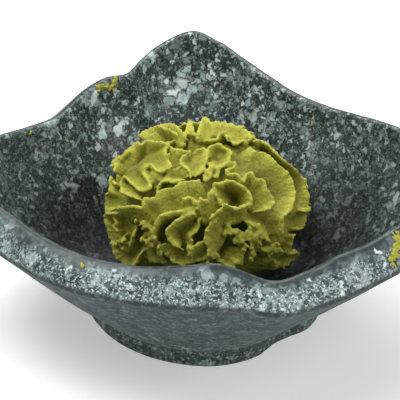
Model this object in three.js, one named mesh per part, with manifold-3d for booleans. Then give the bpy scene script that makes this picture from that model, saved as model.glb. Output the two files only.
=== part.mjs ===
// A small stone-look dish with a wavy rim, and a ruffled mound of wasabi paste resting on its floor.
// Millimetres, +Z up. The origin is the middle of the foot's flat underside, on the table.
// Azimuths are degrees around Z, from the front (-Y) towards the right (+X). Elevations are degrees
// above the level of the mound's middle.
import * as THREE from 'three';
import { mergeVertices } from 'three/addons/utils/BufferGeometryUtils.js';
import Module from 'manifold-3d';

const wasm = await Module();
wasm.setup();

// ---- Dish: driving dimensions ----
const FLOOR_HEIGHT = 6;        // inside floor above the table
const WALL_POWER = 3;          // how late the inside curves up from floor to crest
const MEAN_CREST = 36.3;       // crest height at which the lip band has its plain height
const BAND_HEIGHT = 7.2;       // sloping lip band outside the crest
const BAND_FOLLOW = 0.6;       // share of the crest's rise and fall that the band takes up
const BAND_REACH = 4.9;        // how far the band stands out from the crest
const BAND_STEP = 0.9;         // undercut below the band
const WALL_BULGE = 0.8;        // outward bow of the underside
const FOOT_HEIGHT = 4.5;
const FOOT_FLARE = 0.4;        // how much wider the foot is at its top
const FOOT_EDGE = 1.2;         // rounding of the foot's lower edge
const DISH_SIDES = 88;
const UNDERSIDE_STEPS = 4;     // rings between the foot and the band
const INSIDE_SHARES = [0.93, 0.84, 0.73, 0.6, 0.45, 0.28];  // rings of the inside, as shares of the crest

// Crest of the rim: azimuth, distance from the axis, height.
const RIM = [
  [-178, 51, 41], [-168, 49, 38.3], [-157, 41.5, 37], [-148, 41, 37.4], [-137, 40, 36], [-125, 39, 34.5],
  [-113, 41.5, 35.2], [-103, 45.5, 36.5], [-88, 50, 37.5], [-74, 49, 37], [-62, 45.5, 35.6],
  [-50, 43.8, 35], [-35, 42.8, 34.5], [-23, 41.5, 34.4], [-12, 41.5, 35.2], [-3, 43, 37], [3, 43.6, 38],
  [9, 43.7, 36.6], [19, 46.3, 34], [28, 46.5, 34.3], [37, 47.5, 36.3], [47, 48, 36], [57, 49.3, 36.5],
  [70, 52, 37.5], [83, 53.5, 38], [95, 50.5, 37.6], [106, 46, 37], [119, 41.2, 35.8], [132, 38.8, 34.9],
  [146, 38.6, 34.8], [158, 41.5, 36], [168, 45, 38], [175, 48.7, 39.6],
];
// Outside of the foot: azimuth, radius. It has one shallow flat near 41 degrees.
const FOOT = [
  [-150, 26], [-110, 26.5], [-66, 25.5], [-36, 25.9], [-12, 26.6], [8, 27.3], [28, 26.6], [41, 24.9],
  [51, 25.5], [63, 27.4], [85, 27.4], [110, 26.5], [150, 25.5], [180, 26.5],
];


// ---- Paste: driving dimensions ----
const MOUND_CENTRE = new THREE.Vector3(1.5, 0, 24);
const MOUND_HALF = new THREE.Vector3(22.8, 20.5, 18);
const CORE_REACH = 0.8;        // lump in the middle, as a share of the mound
const CORE_SINK = 1.3;         // how far the lump's lower half is drawn down onto the floor
const CORE_SIDES = 18;
const CORE_RINGS = 12;
const REST_GAP = 0.3;          // paste to dish
const FOLD_REACH = [0.88, 1];  // a fold's root and edge, as shares of the mound
const EDGE_THICKNESS = 1.1;
const ROOT_THICKNESS = 1.7;
const SUNK_SHARE = 0.82;       // a fold's buried end, as a share of its root's distance from the middle
const FOLD_ROWS = 2;
const FINE_FROM = 8;           // folds with this many edge points get two columns a span, the others one
const FOLD_CLEARANCE = 1.6;    // least height of a fold's middle surface over the dish
const PULL_STEP = 0.03;        // share of the way to the middle that a point is drawn in at a time
const SIMPLIFY_WITHIN = 0.048;  // slivers along the joins go, as long as the skin moves no further than this

// Folds on the front and top. A fold is a sheet from its root up to its free edge. Each point is azimuth,
// elevation and, where it isn't the fold's own, reach.
const FRONT_FOLDS = [
  // right side: outer layer and its lower end, the big fan, the ribbon inside it
  { reach: [0.85, 0.98], root: [[120, 49], [116, 34], [104, 22], [94, 9], [80, 4]],
    edge: [[102, 63], [112, 56], [105, 52], [99, 48], [93, 41], [95, 32], [100, 19], [96, 12], [91, 6],
      [87, 0], [73, 9]] },
  { reach: [0.82, 0.96], root: [[78, 5], [66, -7]],
    edge: [[79, 7], [85, -4], [76, -7], [62, 1]] },
  { reach: [0.85, 1], root: [[64, 72], [52, 58], [64, 45], [60, 26], [44, 20], [38, 5]],
    edge: [[82, 66], [76, 61], [81, 55], [77, 48], [77, 40], [73, 32], [68, 26], [58, 20], [49, 17],
      [46, 6]] },
  { reach: [0.87, 1.02], root: [[21, 54], [31, 50], [37, 44], [39, 35], [31, 27]],
    edge: [[20, 60], [21, 56], [28, 55], [31, 49], [36, 53], [42, 53], [44, 48], [48, 45], [45, 39],
      [46, 31], [41, 28], [29, 29]] },
  // centre: the round loop with its left and lower walls, the ragged ribbon, the long band
  { reach: [0.8, 1.04], root: [[12, 46], [21, 47], [27, 42], [28, 34]],
    edge: [[5, 51], [9, 50], [15, 51], [21, 50], [26, 47], [29, 42], [29, 36], [25, 31]] },
  { reach: [0.8, 1.02], root: [[18, 49], [20, 42], [21, 36]],
    edge: [[4, 51], [6, 46], [8, 41], [11, 36]] },
  { reach: [0.93, 1.06], root: [[27, 26], [19, 25], [11, 25], [3, 25]],
    edge: [[26, 36], [20, 33], [14, 36], [11, 37], [8, 34], [2, 29]] },
  { reach: [0.93, 1.04], root: [[10, 38], [5, 30], [-1, 26], [-7, 30], [-13, 33]],
    edge: [[5, 50], [2, 43], [-1, 40], [-4, 41], [-6, 37], [-10, 41], [-13, 41], [-17, 36]] },
  { reach: [0.9, 1], root: [[2, 42], [-11, 37], [-25, 28], [-39, 19], [-58, 12]],
    edge: [[-7, 54], [-14, 52], [-22, 51], [-25, 47], [-36, 41], [-37, 36], [-45, 33], [-43, 28],
      [-55, 23], [-68, 14]] },
  // left side: shoulder, its ruffled front edge, petals down to the rim
  { reach: [0.88, 1.02], root: [[-102, 20], [-108, 30], [-106, 43], [-98, 57]],
    edge: [[-93, 28], [-108, 26], [-112, 31], [-116, 36], [-121, 40], [-104, 50], [-107, 53], [-99, 60],
      [-83, 68]] },
  { root: [[-103, 58], [-93, 50], [-91, 42], [-92, 32], [-76, 32], [-58, 33]],
    edge: [[-83, 68], [-62, 64], [-41, 59], [-47, 53], [-62, 53], [-61, 47], [-45, 42], [-49, 37],
      [-63, 37], [-74, 36], [-73, 31], [-65, 29], [-45, 32]] },
  { reach: [0.86, 0.99], root: [[-63, 52], [-57, 48], [-51, 44]],
    edge: [[-60, 52], [-66, 50], [-56, 46], [-47, 43]] },
  { reach: [0.86, 0.98], root: [[-88, 21], [-74, 20], [-73, 12]],
    edge: [[-80, 27], [-92, 20], [-87, 16], [-93, 7], [-88, 0], [-70, 12]] },
  { reach: [0.94, 1.06], root: [[-109, 29], [-105, 23]],
    edge: [[-112, 31], [-109, 27], [-103, 24]] },
  { reach: [0.85, 0.99], root: [[-64, 9], [-56, 6], [-59, -4], [-66, -13]],
    edge: [[-60, 15], [-70, 9], [-86, -3], [-81, -9], [-77, -15], [-72, -19], [-54, -3]] },
  { reach: [0.86, 0.95], root: [[-51, 10], [-58, 0]],
    edge: [[-46, 9], [-49, -4], [-59, -19], [-65, -16], [-56, -2]] },
  { reach: [0.86, 0.97], root: [[-40, 16], [-32, 10], [-35, 0]],
    edge: [[-45, 17], [-37, 16], [-33, 12], [-34, 5], [-39, 6]] },
  { reach: [0.86, 1.03], root: [[-70, -14], [-58, -18], [-42, -8]],
    edge: [[-74, -17], [-68, -25], [-62, -30], [-49, -24], [-37, -3]] },
  { reach: [0.84, 0.93], root: [[-42, -6], [-30, -8]],
    edge: [[-43, -8], [-39, -14], [-30, -13], [-24, -10]] },
  // lower front: nested C ribbons, the round pocket, broad petals, ribbons at the rim
  { root: [[-11, 29], [-20, 24], [-27, 18], [-28, 9], [-25, 1]],
    edge: [[-8, 33], [-14, 33], [-20, 30], [-27, 26], [-31, 20], [-30, 10], [-25, 1]] },
  { reach: [0.86, 1.03], root: [[-9, 25], [-15, 21], [-18, 14], [-13, 6]],
    edge: [[-8, 32], [-12, 29], [-17, 24], [-21, 19], [-20, 12], [-12, 7]] },
  { reach: [0.86, 0.99], root: [[-12, 23], [-15, 15], [-15, 6]],
    edge: [[-4, 27], [-5, 21], [-9, 16], [-8, 12], [-10, 7]] },
  { reach: [0.9, 1.03], root: [[10, 22], [9, 12], [6, 2]],
    edge: [[5, 27], [0, 22], [-1, 15], [0, 9], [2, 3]] },
  { reach: [0.92, 1.02], root: [[0, 6], [-2, 0], [-7, -5]],
    edge: [[0, 15], [-5, 11], [-9, 7], [-9, 2]] },
  { reach: [0.86, 0.98], root: [[-17, 0], [-15, -6]],
    edge: [[-24, 9], [-25, 3], [-22, -2], [-19, -5], [-15, -7]] },
  { reach: [0.86, 0.98], root: [[-20, -7], [-11, -4], [-1, 0]],
    edge: [[-19, -5], [-13, -7], [-7, -3], [-3, -1], [2, 2]] },
  { reach: [0.86, 0.98], root: [[-16, -14], [-4, -9], [4, 2]],
    edge: [[-18, -9], [-13, -12], [-7, -9], [-1, -5], [6, 4]] },
  { reach: [0.88, 0.98], root: [[18, 6], [13, -2], [9, -12]],
    edge: [[24, 6], [22, -1], [20, -8], [12, -14]] },
  { reach: [0.88, 0.99], root: [[23, 15], [28, 9], [33, -1]],
    edge: [[20, 25], [26, 21], [33, 19], [34, 12], [39, 2]] },
  { reach: [0.86, 0.96], root: [[15, 12], [20, 8]],
    edge: [[11, 19], [17, 19], [21, 15], [17, 12]] },
  { reach: [0.86, 1], root: [[26, -4], [30, 0]],
    edge: [[20, 6], [24, 11], [29, 8], [26, 4], [27, -5]] },
  { reach: [0.86, 0.97], root: [[43, -16], [52, -20]],
    edge: [[32, 4], [37, 1], [43, -3], [38, -5], [33, -1]] },
  { reach: [0.82, 0.95], root: [[36, -16], [46, -28], [52, -34]],
    edge: [[33, -2], [40, -7], [46, -8], [50, -18], [55, -30]] },
  { reach: [0.8, 1.03], root: [[60, -20], [60, -27]],
    edge: [[50, -12], [57, -14], [64, -19], [67, -25], [63, -30], [57, -32]] },
  // top: the two lips of the swirl's cup, the shelf below them, the hood, two curls, the soft fold behind
  { root: [[-39, 73], [-32, 67], [-19, 60]],
    edge: [[-32, 72], [-38, 67], [-32, 63], [-24, 61], [-15, 54]] },
  { root: [[-41, 73], [-26, 67], [-19, 60]],
    edge: [[-28, 74], [-17, 77], [0, 76], [0, 69], [-3, 65], [-6, 59], [-12, 55]] },
  { reach: [0.86, 0.95], root: [[-50, 47], [-35, 53], [-23, 55]],
    edge: [[-42, 50], [-38, 59], [-19, 55]] },
  { root: [[14, 77], [32, 80], [52, 78], [41, 73], [20, 69], [12, 74]],
    edge: [[0, 69], [5, 79], [43, 82], [46, 73], [33, 67], [14, 62], [0, 67]] },
  { reach: [0.9, 0.98], root: [[6, 64], [1, 59], [6, 60], [10, 61]],
    edge: [[5, 65], [-3, 56], [7, 62], [13, 60], [5, 56]] },
  { reach: [0.9, 0.99], root: [[29, 63], [30, 60], [36, 54]],
    edge: [[20, 63], [36, 64], [34, 61], [20, 59], [28, 54], [32, 49]] },
  { reach: [0.86, 0.97], root: [[-51, 53], [-42, 55], [-32, 56]],
    edge: [[-38, 38], [-41, 44], [-37, 49], [-30, 50], [-20, 54]] },
  { reach: [0.86, 0.98], root: [[-65, 64], [-51, 64], [-50, 70]],
    edge: [[-85, 67], [-70, 70], [-55, 72], [-40, 73]] },
  { reach: [0.93, 1.02], root: [[-60, 88], [120, 80], [140, 68], [124, 64]],
    edge: [[-20, 84], [12, 85], [60, 84], [100, 84], [108, 80], [74, 77], [68, 73], [92, 69]] },
  { reach: [0.9, 1.08], root: [[-122, 46], [-126, 58], [-118, 66]],
    edge: [[-124, 41], [-129, 44], [-134, 46], [-134, 52], [-126, 60], [-113, 68], [-86, 75]] },
  // right of the back, below the outer layer
  { reach: [0.82, 0.93], root: [[128, 20], [134, 32], [140, 42]],
    edge: [[116, 20], [125, 28], [119, 35], [130, 40], [126, 48], [138, 50], [146, 46]] },
  // behind the swirl's pit: rear lobe, narrow spike, scalloped crown, low fold in front of the hood
  { reach: [0.92, 1.04], root: [[-137, 48], [-127, 64], [-96, 75]],
    edge: [[-136, 48, 1.05], [-141, 50, 1.06], [-145, 51, 1.06], [-139, 62], [-126, 71], [-102, 77],
      [-67, 78]] },
  { reach: [0.93, 1.04], root: [[-114, 78], [-100, 80], [-116, 81]],
    edge: [[-88, 80], [-139, 74], [-164, 56], [-149, 75], [-81, 83]] },
  { reach: [0.93, 1.03], root: [[-75, 87], [167, 82], [149, 73], [127, 68], [96, 66]],
    edge: [[-50, 84], [-162, 78], [-176, 57, 1.05], [179, 57, 1.05], [173, 73], [169, 70], [164, 66],
      [151, 70], [148, 66], [133, 68], [127, 65], [116, 64], [96, 65]] },
  { reach: [0.88, 0.97], root: [[-106, 64], [-101, 69], [-81, 74]],
    edge: [[-104, 65], [-93, 69], [-101, 72], [-81, 75], [-63, 75]] },
];

// Hidden sides: rows of like folds round the back and the foot of the mound. Each fold's edge swings up and
// down once a wave, its ends lie rise apart, and it leans the other way from its neighbour.
const HIDDEN_ROWS = [
  { from: 156, to: 216, count: 3, elevation: 50, width: 36, rise: 12, waves: 3 },
  { from: 162, to: 236, count: 4, elevation: 28, width: 34, rise: 16, waves: 3 },
  { from: 116, to: 238, count: 6, elevation: 2, width: 32, rise: 14, waves: 3 },
  { from: 120, to: 250, count: 4, elevation: -24, width: 34, rise: 10, waves: 2 },
];
const WAVE = 5;                // degrees that a hidden edge swings each way
const HIDDEN_ROOT_DROP = 8;    // degrees from a hidden edge down to its root
const HIDDEN_SCATTER = 8;      // degrees of scatter in place
const REACH_SCATTER = 0.04;
const HIDDEN_SEED = 7;

// Periodic cubic through the stations, with each slope taken from its two neighbours.
function smoothRing(stations, azimuth, column) {
  const count = stations.length;
  const turn = (from, to) => ((to - from) % 360 + 360) % 360;
  const at = (i) => stations[(i + count) % count];
  let i = 0;
  while (turn(at(i)[0], azimuth) > turn(at(i)[0], at(i + 1)[0])) i += 1;
  const slope = (j) => (at(j + 1)[column] - at(j - 1)[column]) / turn(at(j - 1)[0], at(j + 1)[0]);
  const span = turn(at(i)[0], at(i + 1)[0]);
  const t = turn(at(i)[0], azimuth) / span;
  const blend = t * t * (3 - 2 * t);
  return at(i)[column] * (1 - blend) + at(i + 1)[column] * blend
    + span * t * (1 - t) * (slope(i) * (1 - t) - slope(i + 1) * t);
}

function polar(azimuth, radius, height) {
  const a = THREE.MathUtils.degToRad(azimuth);
  return new THREE.Vector3(radius * Math.sin(a), -radius * Math.cos(a), height);
}

function insideHeight(x, y) {
  const azimuth = THREE.MathUtils.radToDeg(Math.atan2(x, -y));
  const share = Math.hypot(x, y) / smoothRing(RIM, azimuth, 1);
  return FLOOR_HEIGHT + (smoothRing(RIM, azimuth, 2) - FLOOR_HEIGHT) * share ** WALL_POWER;
}

// Half section of the dish, from the middle of the base out, up and over the crest, to the inside floor.
function dishSection(azimuth) {
  const crest = smoothRing(RIM, azimuth, 1);
  const top = smoothRing(RIM, azimuth, 2);
  const foot = smoothRing(FOOT, azimuth, 1);
  const band = BAND_HEIGHT + BAND_FOLLOW * (top - MEAN_CREST);
  const under = [crest + BAND_REACH - BAND_STEP, top - band - BAND_STEP];
  const underside = [];
  for (let step = 0; step <= UNDERSIDE_STEPS + 1; step += 1) {
    const t = step / (UNDERSIDE_STEPS + 1);
    const radius = THREE.MathUtils.lerp(foot + FOOT_FLARE, under[0], t);
    const height = THREE.MathUtils.lerp(FOOT_HEIGHT, under[1], t);
    underside.push([radius + WALL_BULGE * Math.sin(Math.PI * t), height]);
  }
  const inside = INSIDE_SHARES.map((share) => (
    [crest * share, FLOOR_HEIGHT + (top - FLOOR_HEIGHT) * share ** WALL_POWER]));
  return [
    [0, 0], [foot - FOOT_EDGE, 0], [foot - FOOT_EDGE * 0.3, FOOT_EDGE * 0.3], [foot, FOOT_EDGE],
    ...underside,
    [crest + BAND_REACH, top - band], [crest + BAND_REACH, top - band * 0.8],
    [crest + BAND_REACH * 0.72, top - band * 0.42], [crest + BAND_REACH * 0.32, top - band * 0.12],
    [crest, top], [crest * 0.975, top - band * 0.11],
    ...inside, [0, FLOOR_HEIGHT],
  ];
}

function geometryFrom(vertProperties, triVerts) {
  const geometry = new THREE.BufferGeometry();
  geometry.setAttribute('position', new THREE.BufferAttribute(Float32Array.from(vertProperties), 3));
  geometry.setIndex(Array.from(triVerts));
  return geometry;
}

// Joins vertices that share a place and drops the triangles that this leaves with no area.
function closed(geometry) {
  const bare = geometry.clone().deleteAttribute('normal').deleteAttribute('uv');
  const merged = mergeVertices(bare, 1e-4);
  const kept = [];
  const index = merged.index.array;
  for (let i = 0; i < index.length; i += 3) {
    const [a, b, c] = index.slice(i, i + 3);
    if (a !== b && b !== c && c !== a) kept.push(a, b, c);
  }
  return geometryFrom(merged.attributes.position.array, kept);
}

function dishGeometry() {
  const rows = dishSection(0).length;
  const placeholder = dishSection(0).map(([radius, height]) => new THREE.Vector2(radius, height));
  const geometry = new THREE.LatheGeometry(placeholder, DISH_SIDES);
  for (let side = 0; side <= DISH_SIDES; side += 1) {
    const azimuth = (side % DISH_SIDES) * 360 / DISH_SIDES;
    dishSection(azimuth).forEach(([radius, height], row) => {
      geometry.attributes.position.setXYZ(side * rows + row, ...polar(azimuth, radius, height));
    });
  }
  return closed(geometry);
}

function onMound([azimuth, elevation, reach]) {
  const a = THREE.MathUtils.degToRad(azimuth);
  const e = THREE.MathUtils.degToRad(elevation);
  const direction = new THREE.Vector3(Math.sin(a) * Math.cos(e), -Math.cos(a) * Math.cos(e), Math.sin(e));
  return direction.multiply(MOUND_HALF).multiplyScalar(reach).add(MOUND_CENTRE);
}

// Pulls a point towards the mound's middle until it clears the dish.
function clearOfDish(point, clearance) {
  const pulled = point.clone();
  while (pulled.z < insideHeight(pulled.x, pulled.y) + clearance) pulled.lerp(MOUND_CENTRE, PULL_STEP);
  return pulled;
}

// A closed sheet round the surface pointAt(u, v), with thickness(v) at share v from root to edge.
function sheetGeometry(columns, rows, pointAt, thickness) {
  const points = [];
  for (let j = 0; j <= rows; j += 1) {
    for (let i = 0; i <= columns; i += 1) points.push(pointAt(i / columns, j / rows));
  }
  const at = (i, j) => points[
    THREE.MathUtils.clamp(j, 0, rows) * (columns + 1) + THREE.MathUtils.clamp(i, 0, columns)];
  const vertices = [];
  const faces = [];
  for (const side of [1, -1]) {
    for (let j = 0; j <= rows; j += 1) {
      for (let i = 0; i <= columns; i += 1) {
        const along = at(i + 1, j).clone().sub(at(i - 1, j));
        const across = at(i, j + 1).clone().sub(at(i, j - 1));
        const normal = along.cross(across).normalize();
        vertices.push(...at(i, j).clone().addScaledVector(normal, side * thickness(j / rows) / 2));
      }
    }
  }
  const other = (columns + 1) * (rows + 1);
  const id = (i, j) => j * (columns + 1) + i;
  for (let j = 0; j < rows; j += 1) {
    for (let i = 0; i < columns; i += 1) {
      const [a, b, c, d] = [id(i, j), id(i + 1, j), id(i + 1, j + 1), id(i, j + 1)];
      faces.push(a, b, c, a, c, d, other + a, other + c, other + b, other + a, other + d, other + c);
    }
  }
  const wall = (a, b) => faces.push(b, a, other + a, b, other + a, other + b);
  for (let i = 0; i < columns; i += 1) {
    wall(id(i, 0), id(i + 1, 0));
    wall(id(i + 1, rows), id(i, rows));
  }
  for (let j = 0; j < rows; j += 1) {
    wall(id(columns, j), id(columns, j + 1));
    wall(id(0, j + 1), id(0, j));
  }
  return geometryFrom(vertices, faces);
}

function foldGeometry({ reach: [rootReach, edgeReach] = FOLD_REACH, root, edge }) {
  const curve = (points, reach) => {
    const placed = points.map(([azimuth, elevation, own = reach]) => onMound([azimuth, elevation, own]));
    const clear = placed.map((point) => clearOfDish(point, FOLD_CLEARANCE));
    return new THREE.CatmullRomCurve3(clear, false, 'catmullrom', 0.5);
  };
  const edgeCurve = curve(edge, edgeReach);
  const rootCurve = curve(root, rootReach);
  const pointAt = (u, v) => {
    const valley = rootCurve.getPoint(u);
    const sunk = MOUND_CENTRE.clone().lerp(valley, SUNK_SHARE);
    return sunk.multiplyScalar((1 - v) * (1 - 2 * v))
      .addScaledVector(valley, 4 * v * (1 - v))
      .addScaledVector(edgeCurve.getPoint(u), v * (2 * v - 1));
  };
  const thickness = (v) => THREE.MathUtils.lerp(ROOT_THICKNESS, EDGE_THICKNESS, v);
  const columns = (edge.length < FINE_FROM ? 1 : 2) * (edge.length - 1);
  return sheetGeometry(columns, FOLD_ROWS, pointAt, thickness);
}

function hiddenFolds() {
  const folds = [];
  let seed = HIDDEN_SEED;
  const scatter = (size) => {
    seed = (seed * 16807) % 2147483647;  // Lehmer's generator
    return size * (seed / 2147483647 - 0.5);
  };
  for (const { from, to, count, elevation, width, rise, waves } of HIDDEN_ROWS) {
    for (let n = 0; n < count; n += 1) {
      const azimuth = THREE.MathUtils.lerp(from, to, n / (count - 1)) + scatter(HIDDEN_SCATTER);
      const level = elevation + scatter(HIDDEN_SCATTER);
      const lean = n % 2 ? rise : -rise;
      const along = (t) => [azimuth + width * t, level + lean * t];
      const edge = [];
      for (let k = 0; k <= 2 * waves; k += 1) {
        const [a, e] = along(k / (2 * waves) - 0.5);
        edge.push([a, e + (k % 2 ? WAVE : -WAVE), FOLD_REACH[1] + scatter(REACH_SCATTER)]);
      }
      const root = [-0.35, 0, 0.35].map((t) => {
        const [a, e] = along(t);
        return [a, e - HIDDEN_ROOT_DROP];
      });
      folds.push({ root, edge });
    }
  }
  return folds;
}

function coreGeometry() {
  const geometry = new THREE.SphereGeometry(1, CORE_SIDES, CORE_RINGS);
  const position = geometry.attributes.position;
  for (let i = 0; i < position.count; i += 1) {
    const point = new THREE.Vector3(position.getX(i), -position.getZ(i), position.getY(i));
    point.z *= point.z < 0 ? CORE_SINK : 1;
    point.multiply(MOUND_HALF).multiplyScalar(CORE_REACH).add(MOUND_CENTRE);
    point.z = Math.max(point.z, insideHeight(point.x, point.y) + REST_GAP);
    position.setXYZ(i, ...point);
  }
  return closed(geometry);
}

function solid(geometry) {
  return new wasm.Manifold(new wasm.Mesh({
    numProp: 3,
    vertProperties: geometry.attributes.position.array,
    triVerts: Uint32Array.from(geometry.index.array),
  }));
}

function pasteGeometry() {
  const folds = [...FRONT_FOLDS, ...hiddenFolds()].map((fold) => solid(foldGeometry(fold)));
  const joined = folds.reduce((whole, fold) => whole.add(fold), solid(coreGeometry()));
  // The largest body is the mound: scraps and sealed hollows are the others.
  const [largest] = joined.simplify(SIMPLIFY_WITHIN).decompose().sort((a, b) => b.volume() - a.volume());
  const mesh = largest.getMesh();
  return geometryFrom(mesh.vertProperties, mesh.triVerts);
}

function named(name, geometry, color, roughness) {
  const mesh = new THREE.Mesh(geometry, new THREE.MeshStandardMaterial({ color, roughness, metalness: 0 }));
  mesh.name = name;
  return mesh;
}

const group = new THREE.Group();
group.add(named('dish', dishGeometry(), '#4a5553', 0.35));
group.add(named('wasabi_paste', pasteGeometry(), '#a5a03a', 0.8));

export default group;
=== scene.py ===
import math
import random

import bmesh
import bpy
from mathutils import Euler, Matrix, Vector, kdtree, noise


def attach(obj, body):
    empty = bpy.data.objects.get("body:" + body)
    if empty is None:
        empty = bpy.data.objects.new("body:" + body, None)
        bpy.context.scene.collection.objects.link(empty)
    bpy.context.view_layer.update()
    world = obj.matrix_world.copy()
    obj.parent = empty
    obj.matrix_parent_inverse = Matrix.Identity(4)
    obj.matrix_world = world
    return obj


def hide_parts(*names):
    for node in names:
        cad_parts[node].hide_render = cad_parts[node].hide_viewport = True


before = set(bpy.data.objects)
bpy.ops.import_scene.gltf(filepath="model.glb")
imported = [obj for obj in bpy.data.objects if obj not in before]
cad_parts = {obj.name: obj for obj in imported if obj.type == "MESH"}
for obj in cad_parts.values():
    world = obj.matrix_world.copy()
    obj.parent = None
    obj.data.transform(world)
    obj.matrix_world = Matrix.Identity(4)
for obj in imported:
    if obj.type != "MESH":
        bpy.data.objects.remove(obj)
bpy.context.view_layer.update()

# ---- Viewpoint, light and table ----
# A long lens looks down at the dish from the front. One broad lamp hangs up to the left, a weaker one to the
# right and one behind, over a plain pale table in an even white room.
MM = 0.001
VIEW_TILT = math.radians(32)
VIEW_DISTANCE = 520
VIEW_TARGET = Vector((0, 0, 26))
VIEW_LENS = 212.7
NEAREST_SEEN = 0.01

camera = bpy.data.objects.new("camera", bpy.data.cameras.new("camera"))
camera.data.lens = VIEW_LENS
camera.data.clip_start = NEAREST_SEEN
view_back = Vector((0, -math.cos(VIEW_TILT), math.sin(VIEW_TILT)))
camera.location = (VIEW_TARGET + view_back * VIEW_DISTANCE) * MM
camera.rotation_euler = (-view_back).to_track_quat("-Z", "Y").to_euler()
bpy.context.scene.collection.objects.link(camera)
bpy.context.scene.camera = camera

LAMPS = [
    # name, place in mm, width in mm, watts
    ("lamp_left", (-230, 20, 600), 420, 3.1),
    ("lamp_right", (420, -200, 360), 340, 0.8),
    ("lamp_back", (80, 380, 500), 360, 1.9),
]
for name, place, width, watts in LAMPS:
    lamp = bpy.data.objects.new(name, bpy.data.lights.new(name, "AREA"))
    lamp.data.size = width * MM
    lamp.data.energy = watts
    lamp.location = Vector(place) * MM
    lamp.rotation_euler = (VIEW_TARGET * MM - lamp.location).to_track_quat("-Z", "Y").to_euler()
    bpy.context.scene.collection.objects.link(lamp)

ROOM_LIGHT = 0.26
room = bpy.data.worlds.new("room")
room.use_nodes = True
room.node_tree.nodes["Background"].inputs["Color"].default_value = (1, 1, 1, 1)
room.node_tree.nodes["Background"].inputs["Strength"].default_value = ROOM_LIGHT
bpy.context.scene.world = room
bpy.context.scene.view_settings.view_transform = "Standard"

TABLE_WIDTH = 6000
TABLE_COLOUR = (0.9, 0.9, 0.9, 1)
TABLE_ROUGHNESS = 0.9
TABLE_GLOW = 0.38
table_shape = bmesh.new()
bmesh.ops.create_grid(table_shape, x_segments=1, y_segments=1, size=TABLE_WIDTH / 2 * MM)
table_mesh = bpy.data.meshes.new("table")
table_shape.to_mesh(table_mesh)
table_shape.free()
table = bpy.data.objects.new("table", table_mesh)
bpy.context.scene.collection.objects.link(table)
table_finish = bpy.data.materials.new("table_finish")
table_finish.use_nodes = True
table_shader = table_finish.node_tree.nodes["Principled BSDF"]
table_shader.inputs["Base Color"].default_value = TABLE_COLOUR
table_shader.inputs["Roughness"].default_value = TABLE_ROUGHNESS
table_shader.inputs["Emission Color"].default_value = (1, 1, 1, 1)
table_shader.inputs["Emission Strength"].default_value = TABLE_GLOW
table_mesh.materials.append(table_finish)


# ---- Dish ----
# A small moulded dish with a wavy rim: dark stone-look body full of pale chips, under a clear glossy skin.
# A sheet of rows and columns is rolled round the axis, and each row is then set to the dish's own section.
FLOOR_HEIGHT = 6
WALL_POWER = 3
MEAN_CREST = 36.3
BAND_HEIGHT = 7.2
BAND_FOLLOW = 0.6
BAND_REACH = 4.9
BAND_STEP = 0.9
WALL_BULGE = 0.8
FOOT_HEIGHT = 4.5
FOOT_FLARE = 0.4
FOOT_EDGE = 1.2
DISH_COLUMNS = 420
FOOT_ROWS = 4
UNDERSIDE_ROWS = 24
INSIDE_ROWS = 40
LUMP_SIZE = 7
LUMP_DEPTH = 0.22
LUMP_SEED = 3
UNDER_SHARES = (0, 0.3, 0.6, 0.85)
JOIN_WITHIN = 0.001

# Lip band from its lower edge up to the crest, as shares of its reach and height.
BAND_CURVE = [
    (0.96, 1.03), (1, 0.98), (1.01, 0.9), (1, 0.8), (0.94, 0.68), (0.84, 0.55), (0.72, 0.42), (0.58, 0.3),
    (0.45, 0.2), (0.32, 0.12), (0.2, 0.055), (0.09, 0.012), (0, 0),
]
# From the crest in, as mm back and down, to where the plain curve of the inside takes over.
CREST_CURVE = [(0.4, 0.08), (0.75, 0.3), (1.1, 0.8), (1.5, 1.75), (1.9, 3.05), (2.3, 4.3)]
CREST_BACK = 2.7

# Crest of the rim: azimuth, distance from the axis, height.
RIM = [
    (-178, 51, 41), (-168, 49, 38.3), (-157, 41.5, 37), (-148, 41, 37.4), (-137, 40, 36), (-125, 39, 34.5),
    (-113, 41.5, 35.2), (-103, 45.5, 36.5), (-88, 50, 37.5), (-74, 49, 37), (-62, 45.5, 35.6),
    (-50, 43.8, 35), (-35, 42.8, 34.5), (-23, 41.5, 34.4), (-12, 41.5, 35.2), (-3, 43, 37), (3, 43.6, 38),
    (9, 43.7, 36.6), (19, 46.3, 34), (28, 46.5, 34.3), (37, 47.5, 36.3), (47, 48, 36), (57, 49.3, 36.5),
    (70, 52, 37.5), (83, 53.5, 38), (95, 50.5, 37.6), (106, 46, 37), (119, 41.2, 35.8), (132, 38.8, 34.9),
    (146, 38.6, 34.8), (158, 41.5, 36), (168, 45, 38), (175, 48.7, 39.6),
]
# Outside of the foot: azimuth, radius.
FOOT = [
    (-150, 26), (-110, 26.5), (-66, 25.5), (-36, 25.9), (-12, 26.6), (8, 27.3), (28, 26.6), (41, 24.9),
    (51, 25.5), (63, 27.4), (85, 27.4), (110, 26.5), (150, 25.5), (180, 26.5),
]


def smooth_ring(stations, azimuth, column):
    """Periodic cubic through the stations, with each slope taken from its two neighbours."""
    count = len(stations)
    i = 0
    while (azimuth - stations[i][0]) % 360 > (stations[(i + 1) % count][0] - stations[i][0]) % 360:
        i += 1
    before, here, after, beyond = (stations[(i + k) % count] for k in (-1, 0, 1, 2))
    span = (after[0] - here[0]) % 360
    t = (azimuth - here[0]) % 360 / span
    slope_here = (after[column] - before[column]) / ((after[0] - before[0]) % 360)
    slope_after = (beyond[column] - here[column]) / ((beyond[0] - here[0]) % 360)
    blend = t * t * (3 - 2 * t)
    straight = here[column] * (1 - blend) + after[column] * blend
    return straight + span * t * (1 - t) * (slope_here * (1 - t) - slope_after * t)


def mix(a, b, t):
    """The value at share t of the way from a to b."""
    return a + (b - a) * t


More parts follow.
